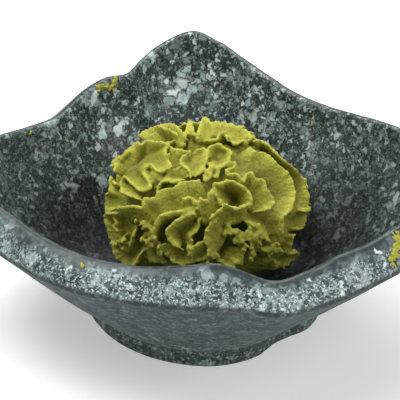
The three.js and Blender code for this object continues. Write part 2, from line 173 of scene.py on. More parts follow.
def dish_section(azimuth):
    """Half sections of the dish as (radius, height): from under the foot up to the crest, and on inside."""
    crest, top = smooth_ring(RIM, azimuth, 1), smooth_ring(RIM, azimuth, 2)
    foot = smooth_ring(FOOT, azimuth, 1)
    band = BAND_HEIGHT + BAND_FOLLOW * (top - MEAN_CREST)
    outside = [(foot * share, 0) for share in UNDER_SHARES]
    for k in range(FOOT_ROWS + 1):
        turn = math.pi / 2 * k / FOOT_ROWS
        outside.append((foot - FOOT_EDGE * (1 - math.sin(turn)), FOOT_EDGE * (1 - math.cos(turn))))
    under = (crest + BAND_REACH - BAND_STEP, top - band - BAND_STEP)
    for k in range(UNDERSIDE_ROWS + 1):
        t = k / UNDERSIDE_ROWS
        bow = WALL_BULGE * math.sin(math.pi * t)
        outside.append((mix(foot + FOOT_FLARE, under[0], t) + bow, mix(FOOT_HEIGHT, under[1], t)))
    outside += [(crest + BAND_REACH * out, top - band * down) for out, down in BAND_CURVE]
    inside = [(crest - back, top - down) for back, down in CREST_CURVE]
    for k in range(1, INSIDE_ROWS + 1):
        share = (1 - CREST_BACK / crest) * (1 - k / INSIDE_ROWS)
        inside.append((crest * share, FLOOR_HEIGHT + (top - FLOOR_HEIGHT) * share**WALL_POWER))
    return outside, inside


def inside_height(x, y):
    """Height of the dish's inside surface at a place, in mm."""
    azimuth = math.degrees(math.atan2(x, -y))
    share = math.hypot(x, y) / smooth_ring(RIM, azimuth, 1)
    return FLOOR_HEIGHT + (smooth_ring(RIM, azimuth, 2) - FLOOR_HEIGHT) * share**WALL_POWER


def sheet(shape, columns, rows, place, layer=None):
    """Adds columns by rows faces to a bmesh in mm, with corners at place(column, row), and joins doubles.
    The layer is a name and a function that gives its value at each corner."""
    corners = bmesh.ops.create_grid(shape, x_segments=columns, y_segments=rows, size=1)["verts"]
    for corner in corners:
        spot = round((corner.co.x + 1) / 2 * columns), round((corner.co.y + 1) / 2 * rows)
        corner.co = place(*spot)
        if layer:
            corner[shape.verts.layers.float[layer[0]]] = layer[1](*spot)
    bmesh.ops.remove_doubles(shape, verts=corners, dist=JOIN_WITHIN)


def made(name, shape, finish):
    """Turns a bmesh in mm into a named object in metres with its finish."""
    bmesh.ops.scale(shape, verts=shape.verts, vec=(MM, MM, MM))
    mesh = bpy.data.meshes.new(name)
    shape.to_mesh(mesh)
    shape.free()
    mesh.shade_smooth()
    mesh.materials.append(finish.material)
    piece = bpy.data.objects.new(name, mesh)
    bpy.context.scene.collection.objects.link(piece)
    return piece


class Wire:
    """A shader value. Arithmetic on it adds a Math node."""

    def __init__(self, finish, socket):
        self.finish = finish
        self.socket = socket

    def math(self, operation, first, second=0):
        return self.finish.node("ShaderNodeMath", {"operation": operation}, {0: first, 1: second})

    def __add__(self, other):
        return self.math("ADD", self, other)

    def __sub__(self, other):
        return self.math("SUBTRACT", self, other)

    def __rsub__(self, other):
        return self.math("SUBTRACT", other, self)

    def __mul__(self, other):
        return self.math("MULTIPLY", self, other)

    def __gt__(self, other):
        return self.math("GREATER_THAN", self, other)

    def __lt__(self, other):
        return self.math("LESS_THAN", self, other)

    __radd__ = __add__
    __rmul__ = __mul__


class Finish:
    """A material round one shader, with its patterns on object coordinates in mm."""

    def __init__(self, name, constants):
        self.material = bpy.data.materials.new(name)
        self.material.use_nodes = True
        self.tree = self.material.node_tree
        self.shader = self.tree.nodes["Principled BSDF"]
        for socket, value in constants.items():
            self.shader.inputs[socket].default_value = value
        metres = self.node("ShaderNodeTexCoord", output="Object")
        self.place = self.vector("MULTIPLY", metres, (1 / MM,) * 3)

    def feed(self, socket, value):
        if isinstance(value, Wire):
            self.tree.links.new(value.socket, socket)
        else:
            socket.default_value = value

    def node(self, kind, settings=None, inputs=None, output=0):
        """Adds a node: its settings first, then the values or links of its sockets."""
        node = self.tree.nodes.new(kind)
        for key, value in (settings or {}).items():
            if key == "stops":
                for position, colour in value:
                    element = node.color_ramp.elements.new(position)
                    element.color = (*colour, 1)
                node.color_ramp.elements.remove(node.color_ramp.elements[0])
                node.color_ramp.elements.remove(node.color_ramp.elements[-1])
            else:
                setattr(node, key, value)
        for key, value in (inputs or {}).items():
            self.feed(node.inputs[key], value)
        return Wire(self, node.outputs[output])

    def vector(self, operation, first, second):
        return self.node("ShaderNodeVectorMath", {"operation": operation}, {0: first, 1: second})

    def kept(self, name):
        """A number that the mesh keeps at each corner."""
        return self.node("ShaderNodeAttribute", {"attribute_name": name}, output="Fac")

    def along(self, axis):
        """Place along one axis, in mm."""
        return self.node("ShaderNodeSeparateXYZ", {}, {0: self.place}, axis)

    def noise(self, size, detail=3, place=None, output="Fac"):
        """Noise with lumps about size mm across."""
        return self.node("ShaderNodeTexNoise", {},
                         {"Vector": place or self.place, "Scale": 1 / size, "Detail": detail}, output)

    def eased(self, value, low, high):
        """0 where value is at low, 1 where it is at high, and a smooth step between."""
        if low > high:
            return 1 - self.eased(value, high, low)
        return self.node("ShaderNodeMapRange", {"interpolation_type": "SMOOTHSTEP"},
                         {"Value": value, "From Min": low, "From Max": high})

    def blend(self, share, first, second):
        """The first colour where share is 0, the second where it is 1."""
        first, second = (c if isinstance(c, Wire) else (*c, 1) for c in (first, second))
        return self.node("ShaderNodeMix", {"data_type": "RGBA"}, {0: share, 6: first, 7: second}, 2)

    def bump(self, height, strength, depth):
        """Feeds the shader a normal from a height of 0 to 1, where 1 stands depth mm high."""
        normal = self.node("ShaderNodeBump", {},
                           {"Height": height, "Strength": strength, "Distance": depth * MM})
        self.feed(self.shader.inputs["Normal"], normal)


stone = Finish("speckled_stone", {"Coat Roughness": 0.25, "Specular IOR Level": 0.25})

# Zones of the finish, as distances from the crest, heights and places in mm where each begins and is full.
PAINTED_LIGHT_BACK_ZONE = (6, 30)
PAINTED_SHADE_ZONE = (32, 12)
BACK_SHADE_DROP = 4
CREST_OUTSIDE = (1.1, 2.7)
CREST_INSIDE = (-0.1, -0.6)
FLAKES_FROM = (4, 6.2)
FLAKES_TO = (7.9, 7)
FEWER_LEFT = (-42, -14)
FEWER_RIGHT = (20, 42)
BAND_ZONE = (8.2, 7.2)
SHADE_FROM = (7.2, 8.3)
SHADE_TO = (10.6, 9)
FOOT_ZONE = (15, 4)

# The hollow with painted light on its back wall and painted shade on its floor, the smooth crest, the lip
# band with its flakes and a painted shadow along the edge under them, and the plainer wall and foot.
from_crest = stone.kept("from_crest")
level = stone.along("Z")
side = stone.along("X")
inside = from_crest < 0
# Painted light on the hollow's back wall, and painted shade on its floor, which reaches less high at the
# back.
back = stone.eased(stone.along("Y"), *PAINTED_LIGHT_BACK_ZONE)
painted_floor_shade = stone.eased(level + back * BACK_SHADE_DROP, *PAINTED_SHADE_ZONE) * inside
off_crest = stone.eased(from_crest + stone.noise(5, 2), *CREST_OUTSIDE)
off_crest = off_crest + stone.eased(from_crest, *CREST_INSIDE)
flaky = stone.eased(from_crest + stone.noise(7, 2) * 4, *FLAKES_FROM) * stone.eased(from_crest, *FLAKES_TO)
flaky = flaky * (stone.eased(side, *FEWER_LEFT) * 0.5 + 0.5) * (1 - stone.eased(side, *FEWER_RIGHT) * 0.25)
band = stone.eased(from_crest, *BAND_ZONE) * (1 - inside)
# Painted shadow along the lowest part of the lip band, where the undercut shades it.
painted_edge_shadow = stone.eased(from_crest, *SHADE_FROM) * stone.eased(from_crest, *SHADE_TO)
wall = (1 - inside) * (1 - band)
foot = stone.eased(level, *FOOT_ZONE) * wall


def cells(size, offset, wander, swirl):
    """Ragged cells about size mm across, drawn out the more they wander over a wide swirl.
    Gives the tone, pick and hue of each cell, and the distance in from its edge."""
    moved = stone.vector("ADD", stone.place, (offset,) * 3)
    shift = stone.vector("SUBTRACT", stone.noise(size * swirl, 2, moved, "Color"), (0.5,) * 3)
    ragged = stone.vector("ADD", moved, stone.vector("MULTIPLY", shift, (size * wander,) * 3))
    own = stone.node("ShaderNodeTexVoronoi", {}, {"Vector": ragged, "Scale": 1 / size}, "Color")
    gap = stone.node("ShaderNodeTexVoronoi", {"feature": "DISTANCE_TO_EDGE"},
                     {"Vector": ragged, "Scale": 1 / size})
    tone, pick, hue = (stone.node("ShaderNodeSeparateColor", {}, {0: own}, part)
                       for part in ("Red", "Green", "Blue"))
    return tone, pick, hue, gap


# Darkest and palest colour of each ground, and the colours of the chips from their darkest to their palest.
GRAINS = (0.009, 0.016, 0.015), (0.09, 0.128, 0.122)
# Painted shade: the next ground is a darker copy of the grains for the hollow's floor.
PAINTED_SHADE_GRAINS = (0.003, 0.004, 0.0035), (0.022, 0.026, 0.023)
PLAIN = (0.021, 0.036, 0.041), (0.055, 0.084, 0.092)
FLOWING = (0.035, 0.052, 0.058), (0.15, 0.2, 0.2)
# Painted shadow: the shaded edge colour darkens the lowest part of the lip band.
SHADED_EDGE = (0.024, 0.036, 0.042)
SMOOTH_CREST = (0.025, 0.039, 0.043)
COOL_CHIPS = [
    (0.05, (0.08, 0.125, 0.125)), (0.3, (0.2, 0.3, 0.3)), (0.6, (0.45, 0.62, 0.63)),
    (0.9, (0.85, 0.98, 0.98)),
]
WARM_CHIPS = [
    (0.05, (0.085, 0.108, 0.1)), (0.3, (0.2, 0.245, 0.225)), (0.6, (0.45, 0.52, 0.48)),
    (0.9, (0.85, 0.92, 0.88)),
]

# The ground is a crush of dark grains with darker cracks between them; painted shade darkens it on the
# hollow's floor. It is plainer and streaked on the wall, flows in small swirls on the band, has a painted
# shadow along the band's lower edge, and is smooth on the crest.
tone, pick, hue, gap = cells(0.7, 90, 1.6, 0.6)
grains = (tone * 0.8 + stone.noise(9) * 0.8 - 0.3) * stone.eased(gap, 0, 0.12)
ground = stone.blend(painted_floor_shade * 0.9, stone.blend(grains, *GRAINS), stone.blend(grains, *PAINTED_SHADE_GRAINS))
streaks = stone.noise(4, 4, stone.vector("MULTIPLY", stone.place, (1, 1, 3)))
plain = stone.blend(stone.eased(streaks, 0.35, 0.75), *PLAIN)
ground = stone.blend(wall * (1 - foot * 0.7) * 0.9, ground, plain)
swirl = stone.noise(1.6, 4, stone.vector("MULTIPLY", stone.place, (1.6, 1.6, 0.6)))
flowing = stone.blend(stone.eased(swirl, 0.35, 0.7), *FLOWING)
ground = stone.blend(band * (0.85 - flaky * 0.25), ground, flowing)
ground = stone.blend(painted_edge_shadow * 0.75, ground, SHADED_EDGE)
ground = stone.blend(1 - off_crest, ground, SMOOTH_CREST)


def chips(under, size, share, offset, wander, strength, lift=0, swirl=0.6):
    """The colour under, with angular chips about size mm across pressed in over that share of it. Lift makes
    them paler."""
    tone, pick, hue, gap = cells(size, offset, wander, swirl)
    cover = (pick > 1 - share) * stone.eased(gap, 0, 0.2)
    mottled = tone * 0.75 + stone.noise(size * 0.3, 3) * 0.9 + (lift - 0.3)
    cool = stone.node("ShaderNodeValToRGB", {"stops": COOL_CHIPS}, {0: mottled})
    warm = stone.node("ShaderNodeValToRGB", {"stops": WARM_CHIPS}, {0: mottled})
    return stone.blend(cover * strength, under, stone.blend((hue > 0.6) * (1 - band), cool, warm))


# Small, middling and large chips, two sizes of flake that swirl along the band, and a few bright lumps in it.
# Each layer has its size in mm, share, offset, wander, strength, lift and swirl.
patches = stone.eased(stone.noise(14, 2), 0.42, 0.6)
# Chips show less in the painted shade on the hollow's floor and on the smooth crest, and more on the hollow's
# back wall as painted light.
unshaded_and_off_crest = (1 - painted_floor_shade * 0.8) * (off_crest * 0.8 + 0.2)
inner_wall_painted_back_light = inside * (back * 0.45 + 0.4)
look = chips(ground, 0.6, 0.42, 57, 3, (inner_wall_painted_back_light * 0.6 + foot * 0.28 + wall * 0.1) * unshaded_and_off_crest, 0, 1.5)
look = chips(look, 1.3, 0.3, 31, 2.2, (inner_wall_painted_back_light + band * 0.35 + wall * 0.1 + foot * 0.12) * unshaded_and_off_crest, 0, 1.5)
look = chips(look, 2.6, 0.26, 3, 1, (inner_wall_painted_back_light * (0.2 + patches) + band * 0.35 + wall * 0.05) * unshaded_and_off_crest, 0.08)
look = chips(look, 0.6, 0.42, 12, 4, flaky * 0.6, 0.08, 2.5)
look = chips(look, 0.42, 0.32, 77, 3.5, flaky * 0.95, 0.3, 2.5)
look = chips(look, 1.5, 0.05, 44, 1.3, band * off_crest * 0.9, 0.3, 1)
stone.feed(stone.shader.inputs["Base Color"], look)
stone.feed(stone.shader.inputs["Roughness"], stone.noise(2, 4) * 0.16 + 0.38 + wall * 0.2)
stone.feed(stone.shader.inputs["Coat Weight"], (1 - wall) * (0.4 - painted_floor_shade * 0.35))
stone.bump(stone.noise(6) + stone.noise(0.9) * 0.15, 0.5, 0.3)

# The sheet is rolled round the axis. Every corner keeps its distance along the section from the crest, for
# the zones of the finish. It is less than 0 inside, and the lip band counts as equally long all round.
BAND_LENGTH = 9
sections = []
distances = []
for column in range(DISH_COLUMNS):
    outside, inner = dish_section(360 * column / DISH_COLUMNS)
    section = outside + inner
    steps = [0] + [math.dist(a, b) for a, b in zip(section, section[1:])]
    run = [sum(steps[:k + 1]) for k in range(len(section))]
    sections.append(section)
    down = [run[len(outside) - 1] - length for length in run]
    edge = down[len(outside) - len(BAND_CURVE)]
    distances.append([d if d < 0 else min(d, edge) * BAND_LENGTH / edge + max(0, d - edge) for d in down])

noise.seed_set(LUMP_SEED)


def dish_corner(column, row):
    """Corner of the dish's skin, with the faint unevenness of a moulded and glazed surface."""
    column %= DISH_COLUMNS
    turn = math.tau * column / DISH_COLUMNS
    radius, height = sections[column][row]
    corner = Vector((radius * math.sin(turn), -radius * math.cos(turn), height))
    if height < FLOOR_HEIGHT or row == len(sections[column]) - 1:
        return corner
    return corner + noise.noise_vector(corner / LUMP_SIZE) * LUMP_DEPTH


dish_shape = bmesh.new()
dish_shape.verts.layers.float.new("from_crest")
sheet(dish_shape, DISH_COLUMNS, len(sections[0]) - 1, dish_corner,
      ("from_crest", lambda column, row: distances[column % DISH_COLUMNS][row]))
bmesh.ops.recalc_face_normals(dish_shape, faces=dish_shape.faces)
dish = made("stone_dish", dish_shape, stone)
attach(dish, "root")
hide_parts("dish")


# ---- Wasabi paste ----
# Grated wasabi paste, pressed out into a mound of ruffled folds that rests on the dish's floor. Each fold is
# a sheet from its root up to a wavy free edge. The folds and the lump inside them are fused into one skin.
MOUND_CENTRE = Vector((1.5, 0, 24))
MOUND_HALF = Vector((22.8, 20.5, 18))
CORE_REACH = 0.8
CORE_SINK = 1.3
REST_GAP = 0.3
FOLD_REACH = (0.88, 1)
EDGE_THICKNESS = 0.64
ROOT_THICKNESS = 1.6
SUNK_SHARE = 0.82
FOLD_CLEARANCE = 1.6
PULL_STEP = 0.03
FOLD_ROWS = 14
TIP_ROWS = 4
COLUMN_WIDTH = 0.4
LEAST_COLUMNS = 8
END_TAPER = 1.4
ROOT_SWELL = 6
FACE_HOLLOW = 0.03
TEAR_DEPTH = (0.5, 0.2)
TEAR_HEIGHTS = (18, 30)
TEAR_FINENESS = (0.8, 1.7, 2.6)
RIM_DRIFT = 0.25
RIM_DRIFT_FINENESS = 0.45
THICKNESS_DRIFT = 0.3
THICKNESS_FINENESS = 0.5
FOLD_SHIFT = (7.3, 3.1)

# Each fold: reach of root and edge and, where not the usual, thickness at the edge; root and edge as azimuth,
# elevation and, where not the fold's own, reach.
FRONT_FOLDS = [
    # right side: outer layer and its lower end, the big fan, the ribbon inside it
    ((0.85, 0.98), [(120, 49), (116, 34), (104, 22), (94, 9), (80, 4)],
     [(102, 63), (112, 56), (105, 52), (99, 48), (93, 41), (95, 32), (100, 19), (96, 12), (91, 6),
      (87, 0), (73, 9)]),
    ((0.82, 0.96), [(78, 5), (66, -7)],
     [(79, 7), (85, -4), (76, -7), (62, 1)]),
    ((0.85, 1), [(64, 72), (52, 58), (64, 45), (60, 26), (44, 20), (38, 5)],
     [(82, 66), (76, 61), (81, 55), (77, 48), (77, 40), (73, 32), (68, 26), (58, 20), (49, 17), (46, 6)]),
    ((0.87, 1.02), [(21, 54), (31, 50), (37, 44), (39, 35), (31, 27)],
     [(20, 60), (21, 56), (28, 55), (31, 49), (36, 53), (42, 53), (44, 48), (48, 45), (45, 39),
      (46, 31), (41, 28), (29, 29)]),
    # centre: the round loop with its left and lower walls, the ragged ribbon, the long band
    ((0.8, 1.04, 0.95), [(12, 46), (21, 47), (27, 42), (28, 34)],
     [(5, 51), (9, 50), (15, 51), (21, 50), (26, 47), (29, 42), (29, 36), (25, 31)]),
    ((0.8, 1.02), [(18, 49), (20, 42), (21, 36)],
     [(4, 51), (6, 46), (8, 41), (11, 36)]),
    ((0.93, 1.06), [(27, 26), (19, 25), (11, 25), (3, 25)],
     [(26, 36), (20, 33), (14, 36), (11, 37), (8, 34), (2, 29)]),
    ((0.93, 1.04), [(10, 38), (5, 30), (-1, 26), (-7, 30), (-13, 33)],
     [(5, 50), (2, 43), (-1, 40), (-4, 41), (-6, 37), (-10, 41), (-13, 41), (-17, 36)]),
    ((0.9, 1, 0.85), [(2, 42), (-11, 37), (-25, 28), (-39, 19), (-58, 12)],
     [(-7, 54), (-14, 52), (-22, 51), (-25, 47), (-36, 41), (-37, 36), (-45, 33), (-43, 28), (-55, 23),
      (-68, 14)]),
    # left side: shoulder, its ruffled front edge, petals down to the rim
    ((0.88, 1.02), [(-102, 20), (-108, 30), (-106, 43), (-98, 57)],
     [(-93, 28), (-108, 26), (-112, 31), (-116, 36), (-121, 40), (-104, 50), (-107, 53), (-99, 60),
      (-83, 68)]),
    (FOLD_REACH, [(-103, 58), (-93, 50), (-91, 42), (-92, 32), (-76, 32), (-58, 33)],
     [(-83, 68), (-62, 64), (-41, 59), (-47, 53), (-62, 53), (-61, 47), (-45, 42), (-49, 37), (-63, 37),
      (-74, 36), (-73, 31), (-65, 29), (-45, 32)]),
    ((0.86, 0.99), [(-63, 52), (-57, 48), (-51, 44)],
     [(-59, 52), (-67, 52), (-65, 49), (-56, 46), (-47, 43)]),
    ((0.86, 0.98), [(-88, 21), (-74, 20), (-73, 12)],
     [(-80, 27), (-92, 20), (-87, 16), (-93, 7), (-88, 0), (-70, 12)]),
    ((0.94, 1.06), [(-109, 29), (-105, 23)],
     [(-112, 31), (-109, 27), (-103, 24)]),
    ((0.85, 0.99), [(-64, 9), (-56, 6), (-59, -4), (-66, -13)],
     [(-60, 15), (-70, 9), (-86, -3), (-81, -9), (-77, -15), (-72, -19), (-54, -3)]),
    ((0.86, 0.95), [(-51, 10), (-58, 0)],
     [(-46, 9), (-49, -4), (-59, -19), (-65, -16), (-56, -2)]),
    ((0.86, 0.97), [(-40, 16), (-32, 10), (-35, 0)],
     [(-45, 17), (-37, 16), (-33, 12), (-34, 5), (-39, 6)]),
    ((0.86, 1.03), [(-70, -14), (-58, -18), (-42, -8)],
     [(-74, -17), (-68, -25), (-62, -30), (-49, -24), (-37, -3)]),
    ((0.84, 0.93), [(-42, -6), (-30, -8)],
     [(-43, -8), (-39, -14), (-30, -13), (-24, -10)]),
    # lower front: nested C ribbons, the round pocket, broad petals, ribbons at the rim
    ((0.88, 1.02, 1.1), [(-9, 32), (-23, 26), (-30, 21), (-33, 14), (-32, 6)],
     [(-7, 35), (-14, 33), (-22, 30), (-28, 26), (-30, 20), (-30, 14), (-28, 9)]),
    ((0.86, 1.03, 1.1), [(-8, 27), (-16, 20), (-19, 14), (-15, 6)],
     [(-7, 32), (-13, 29), (-18, 25), (-21, 21), (-22, 16), (-19, 11), (-14, 8)]),
    ((0.86, 0.99), [(-12, 23), (-15, 15), (-15, 6)],
     [(-4, 27), (-5, 21), (-9, 16), (-8, 12), (-10, 7)]),
    ((0.9, 1.03), [(10, 22), (9, 12), (6, 2)],
     [(5, 27), (0, 22), (-1, 15), (0, 9), (2, 3)]),
    ((0.92, 1.02), [(0, 6), (-2, 0), (-7, -5)],
     [(0, 15), (-5, 11), (-9, 7), (-9, 2)]),
    ((0.86, 0.98), [(-17, 0), (-15, -6)],
     [(-24, 9), (-25, 3), (-22, -2), (-19, -5), (-15, -7)]),
    ((0.86, 0.98), [(-20, -7), (-11, -4), (-1, 0)],
     [(-19, -5), (-13, -7), (-7, -3), (-3, -1), (2, 2)]),
    ((0.86, 0.98), [(-16, -14), (-4, -9), (4, 2)],
     [(-18, -9), (-13, -12), (-7, -9), (-1, -5), (6, 4)]),
    ((0.88, 1), [(17, 4), (13, -2), (9, -9)],
     [(21, 7), (20, 0), (19, -7), (16, -4), (14, -9), (9, -6)]),
    ((0.87, 1), [(30, 24), (36, 17), (42, 6)],
     [(21, 25), (27, 22), (30, 19), (31, 14), (33, 9), (37, 3)]),
    ((0.86, 0.96), [(15, 12), (20, 8)],
     [(11, 19), (17, 19), (21, 15), (17, 12)]),
    ((0.88, 0.99), [(31, 11), (31, 3), (33, -4)],
     [(25, 19), (22, 15), (24, 11), (25, 6), (24, 2), (28, -5)]),
    ((0.88, 0.98), [(35, -8), (42, -12), (48, -13)],
     [(31, 5), (32, 1), (36, -2), (41, -3), (43, 0)]),
    ((0.82, 0.95), [(36, -16), (46, -28), (52, -34)],
     [(33, -2), (40, -7), (46, -8), (50, -18), (55, -30)]),
    ((0.8, 1.03), [(60, -20), (60, -27)],
     [(50, -12), (57, -14), (64, -19), (67, -25), (63, -30), (57, -32)]),
    # top: the two lips of the swirl's cup, the shelf below them, the hood, two curls, the soft fold behind
    (FOLD_REACH, [(-39, 73), (-32, 67), (-19, 60)],
     [(-32, 72), (-37, 69), (-37, 65), (-32, 63), (-24, 61), (-19, 59), (-17, 57), (-15, 54)]),
    (FOLD_REACH, [(-41, 73), (-26, 67), (-19, 60)],
     [(-28, 74), (-17, 77), (0, 76), (0, 69), (-3, 65), (-6, 59), (-12, 55)]),
    ((0.86, 0.95), [(-50, 47), (-35, 53), (-23, 55)],
     [(-42, 50), (-40, 57), (-32, 61), (-19, 55)]),
    (FOLD_REACH, [(14, 77), (32, 80), (52, 78), (41, 73), (20, 69), (12, 74)],
     [(0, 69), (2, 77), (15, 80), (43, 82), (41, 77), (46, 73), (42, 70), (33, 67), (23, 64), (14, 62),
      (7, 63), (0, 67)]),
    ((0.9, 0.98), [(6, 64), (1, 59), (6, 60), (10, 61)],
     [(-1, 66), (5, 64), (1, 61), (-3, 57), (-2, 54), (2, 55), (4, 59), (7, 62), (12, 63), (13, 60), (10, 56),
      (5, 56)]),
    ((0.9, 0.99), [(29, 63), (30, 60), (36, 54)],
     [(20, 63), (30, 64), (36, 64), (34, 61), (27, 60), (22, 60), (20, 58), (23, 55), (28, 54), (32, 49)]),
    ((0.86, 0.97), [(-51, 53), (-42, 55), (-32, 56)],
     [(-38, 38), (-41, 44), (-37, 49), (-30, 50), (-20, 54)]),
    ((0.86, 0.98), [(-65, 64), (-51, 64), (-50, 70)],
     [(-85, 67), (-70, 70), (-55, 72), (-40, 73)]),
    ((0.93, 1.02), [(-60, 88), (120, 80), (140, 68), (124, 64)],
     [(-20, 84), (12, 85), (60, 84), (100, 84), (108, 80), (74, 77), (68, 73), (92, 69)]),
    ((0.9, 1.08), [(-122, 46), (-126, 58), (-118, 66)],
     [(-124, 41), (-129, 44), (-134, 46), (-134, 52), (-126, 60), (-113, 68), (-86, 75)]),
    # right of the back, below the outer layer
    ((0.82, 0.93), [(128, 20), (134, 32), (140, 42)],
     [(116, 20), (125, 28), (119, 35), (130, 40), (126, 48), (138, 50), (146, 46)]),
    # behind the swirl's pit: rear lobe, narrow spike, scalloped crown, low fold in front of the hood
    ((0.92, 1.04), [(-137, 48), (-127, 64), (-96, 75)],
     [(-136, 48, 1.05), (-141, 50, 1.06), (-145, 51, 1.06), (-139, 62), (-126, 71), (-102, 77),
      (-67, 78)]),
    ((0.93, 1.04), [(-114, 78), (-100, 80), (-116, 81)],
     [(-88, 80), (-139, 74), (-164, 56), (-149, 75), (-81, 83)]),
    ((0.93, 1.03), [(-75, 87), (167, 82), (149, 73), (127, 68), (96, 66)],
     [(-50, 84), (-162, 78), (-176, 57, 1.05), (179, 57, 1.05), (173, 73), (169, 70), (164, 66),
      (151, 70), (148, 66), (133, 68), (127, 65), (116, 64), (96, 65)]),
    ((0.88, 0.97), [(-106, 64), (-101, 69), (-81, 74)],
     [(-104, 65), (-93, 69), (-101, 72), (-81, 75), (-63, 75)]),
]

# Gaps that go deep between the folds: azimuth, elevation and radius in mm.
DEEP_GAPS = [
    (-42, 37, 1.3), (-5, 21, 1), (-7, 16, 1), (15, 25, 1.8), (19, 22, 2), (-29, 47, 1), (-40, 44, 0.9),
    (-27, 49, 0.7), (-37, 15, 2.2), (-39, 0, 2.6), (18, 5, 2), (-32, 60, 1.1), (31, 31, 0.9), (-26, 15, 1.8),
    (57, 10, 1.3), (11, 1, 2), (30, -8, 2.8), (28, 8, 2.4), (37, 0, 1.6), (-46, 6, 2.4), (-26, 10, 1.6),
    (-3, 12, 2), (-45, -4, 2.2), (33, -3, 2.2), (24, 15, 1.4), (22, -1, 1.8), (20, 41, 2.2), (36, 44, 1.3),
    (34, 35, 1.3), (35, 50, 1),
]
# Soft pads of paste behind folds that stand in front of a hollow: azimuth, elevation, reach, radius in mm.
PADS = [(-54, 50, 0.86, 2.2)]
# Torn places where the edges have crumbled: azimuth, elevation, spread in mm and number of crumbs.
TORN_PLACES = [
    (26, 21, 1.6, 10), (32, 14, 1.6, 10), (25, 8, 1.4, 8), (-5, 39, 2.2, 10), (-13, 40, 1.5, 6),
    (-84, 71, 1.8, 12), (-59, 71, 1.5, 6), (-11, 6, 1.6, 8), (3, 24, 1.5, 6), (40, 0, 2, 5), (19, 36, 2, 8),
    (-50, 0, 1.8, 6), (0, 0, 3, 8), (45, -10, 3, 6), (0, 33, 3, 10), (-60, 80, 3, 14), (100, 80, 3, 12),
    (-45, 15, 2, 5), (30, 18, 2.5, 8), (21, 4, 1.6, 5),
]
# Loose lumps of crumbs between the folds: azimuth, elevation, reach, spread in mm and number of crumbs.
LOOSE_LUMPS = [
    (-26, 3, 0.97, 1.1, 16), (-34, 4, 0.93, 1.3, 18), (-38, 11, 0.91, 1.2, 14), (-40, 5, 0.9, 1, 8),
    (12, 18, 0.95, 0.9, 8), (16, 17, 0.96, 0.9, 10), (19, 11, 0.96, 1.1, 12), (28, 13, 0.98, 1, 10),
    (25, -3, 0.98, 0.9, 6),
]
# Shreds that stand up where the folds have torn, and all over the back: azimuth, elevation, spread in
# degrees, number and length in degrees. A shred's own length, wave and drop to its root are shares of that.
SHREDS = [
    (33, 10, 6, 3, 9), (44, -6, 8, 3, 10), (4, -8, 8, 3, 11), (-14, -14, 10, 4, 11), (50, -20, 8, 3, 11),
    (-58, -12, 8, 3, 11), (150, 12, 24, 9, 20), (205, 18, 24, 9, 20), (235, -5, 18, 6, 17),
    (128, -6, 18, 6, 17), (180, 42, 24, 7, 18), (180, -20, 40, 9, 17),
]
SHRED_POINTS = 5
SHRED_SCATTER = (0.7, 1.3)
SHRED_WAVE = (0.02, 0.24)
SHRED_DROP = 0.27
SHRED_REACH = (0.84, 0.97)

# Rows of like folds round the back and the foot, as in the solid: first and last azimuth, count, elevation,
# width, rise and waves.
HIDDEN_ROWS = [
    (156, 216, 3, 50, 36, 12, 3), (162, 236, 4, 28, 34, 16, 3), (116, 238, 6, 2, 32, 14, 3),
    (120, 250, 4, -24, 34, 10, 2),
]
WAVE = 5
HIDDEN_ROOT_DROP = 8
HIDDEN_SCATTER = 8
REACH_SCATTER = 0.04
ROOT_SPREAD = 0.35
HIDDEN_SEED = 7


def clamped(share):
    """The share, kept from 0 to 1."""
    return min(max(share, 0), 1)


def on_mound(azimuth, elevation, reach):
    """Place in that direction from the mound's middle, at that share of its size."""
    a, e = math.radians(azimuth), math.radians(elevation)
    direction = Vector((math.sin(a) * math.cos(e), -math.cos(a) * math.cos(e), math.sin(e)))
    return MOUND_CENTRE + direction * MOUND_HALF * reach


def clear_of_dish(point):
    """The point, pulled towards the mound's middle until it clears the dish."""
    while point.z < inside_height(point.x, point.y) + FOLD_CLEARANCE:
        point = point.lerp(MOUND_CENTRE, PULL_STEP)
    return point


def along(points, t):
    """Place at share t of a smooth curve through the points."""
    i = min(int(t * (len(points) - 1)), len(points) - 2)
    w = t * (len(points) - 1) - i
    a, b = points[i], points[i + 1]
    before = points[i - 1] if i else a * 2 - b
    after = points[i + 2] if i + 2 < len(points) else b * 2 - a
    leave, arrive = (b - before) / 2, (after - a) / 2
    bend, sway = (b - a) * 3 - leave * 2 - arrive, (a - b) * 2 + leave + arrive
    return a + leave * w + bend * w**2 + sway * w**3


def hidden_folds():
    """The folds of HIDDEN_ROWS, scattered as in the solid."""
    folds = []
    seed = HIDDEN_SEED

    def scatter(size):
        """The next value of Lehmer's generator, up to half the size either way."""
        nonlocal seed
        seed = seed * 16807 % 2147483647
        return size * (seed / 2147483647 - 0.5)

    for first, last, count, elevation, width, rise, waves in HIDDEN_ROWS:
        for n in range(count):
            azimuth = mix(first, last, n / (count - 1)) + scatter(HIDDEN_SCATTER)
            height = elevation + scatter(HIDDEN_SCATTER)
            lean = rise if n % 2 else -rise
            edge = []
            for k in range(2 * waves + 1):
                t = k / (2 * waves) - 0.5
                swing = WAVE if k % 2 else -WAVE
                own_reach = FOLD_REACH[1] + scatter(REACH_SCATTER)
                edge.append((azimuth + width * t, height + lean * t + swing, own_reach))
            root = [(azimuth + width * t, height + lean * t - HIDDEN_ROOT_DROP)
                    for t in (-ROOT_SPREAD, 0, ROOT_SPREAD)]
            folds.append((FOLD_REACH, root, edge))
    return folds


rims = []
rim_ways = []


